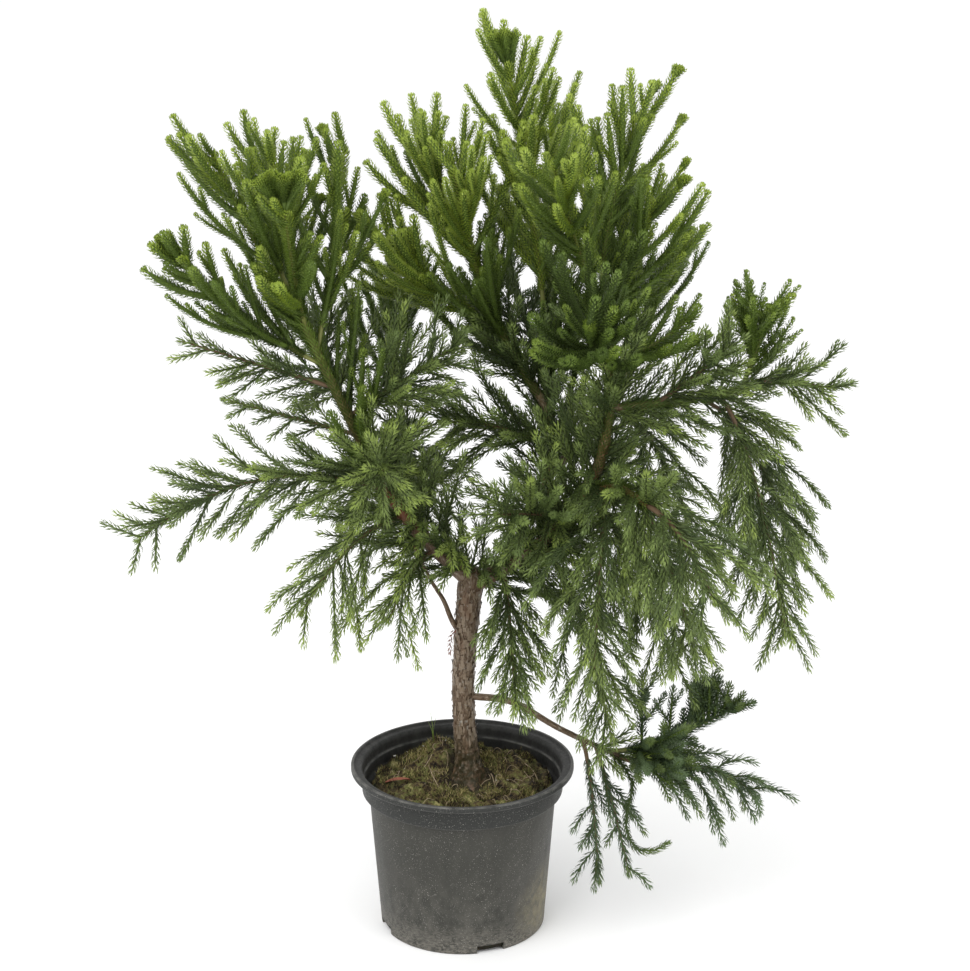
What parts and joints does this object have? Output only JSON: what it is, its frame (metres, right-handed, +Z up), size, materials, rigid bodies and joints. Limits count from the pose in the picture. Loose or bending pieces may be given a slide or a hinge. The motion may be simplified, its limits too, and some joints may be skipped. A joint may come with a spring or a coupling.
{
  "type": "potted japanese cedar",
  "caption": "Young crested Japanese cedar with a short forked trunk, upright tufts of foliage above and weeping sprays below, in a round plastic nursery pot that stands on its flat underside.",
  "frame": {"origin": "middle of the pot's flat underside, on the ground", "axes": "+Z up, +X to the viewer's right and -Y towards the viewer in the picture"},
  "size_m": [0.6969, 0.4809, 0.9025],
  "materials": {
    "plastic": "dusty charcoal plastic, faintly ribbed, with algae low down",
    "compost": "damp compost under moss, rough",
    "bark": "fibrous grey-brown bark that peels in strips",
    "fresh_foliage": "short incurved needles with bright lime tips, slightly waxy",
    "deep_foliage": "longer awl-shaped needles, cool dark green, slightly waxy"
  },
  "bodies": {
    "root": {"pot": "plastic", "root_ball": "compost", "trunk": "bark", "left_leader": "bark", "right_leader": "bark", "middle_leader": "bark", "inner_limb": "bark", "side_limb": "bark", "front_limb": "bark", "low_limb": "bark", "back_limb": "bark", "back_right_limb": "bark", "left_top": "fresh_foliage", "left_outer": "fresh_foliage", "left_side": "fresh_foliage", "left_low": "deep_foliage", "left_under": "deep_foliage", "left_inner": "fresh_foliage", "left_front": "fresh_foliage", "left_back": "fresh_foliage", "left_back_low": "deep_foliage", "left_heart": "deep_foliage", "left_heart_front": "deep_foliage", "left_spray": "deep_foliage", "left_weep": "deep_foliage", "left_weep_inner": "deep_foliage", "middle_top": "fresh_foliage", "middle_left": "fresh_foliage", "middle_inner": "fresh_foliage", "middle_side": "fresh_foliage", "middle_heart": "deep_foliage", "middle_back": "fresh_foliage", "middle_back_low": "deep_foliage", "right_top": "fresh_foliage", "right_outer": "fresh_foliage", "right_side": "fresh_foliage", "right_front": "fresh_foliage", "right_front_low": "fresh_foliage", "right_back": "fresh_foliage", "heart_front": "deep_foliage", "centre_weep": "deep_foliage", "centre_right_weep": "deep_foliage", "right_weep": "deep_foliage", "side_up": "fresh_foliage", "side_inner": "deep_foliage", "side_tip": "deep_foliage", "side_weep": "deep_foliage", "side_weep_back": "deep_foliage", "front_tip": "deep_foliage", "front_weep": "deep_foliage", "front_low": "deep_foliage", "low_spray": "deep_foliage", "low_curl": "deep_foliage", "low_cluster": "fresh_foliage", "low_weep": "deep_foliage", "back_up": "fresh_foliage", "back_weep": "deep_foliage", "back_left_weep": "deep_foliage", "back_right_up": "fresh_foliage", "back_right_weep": "deep_foliage"}
  },
  "joints": []
}
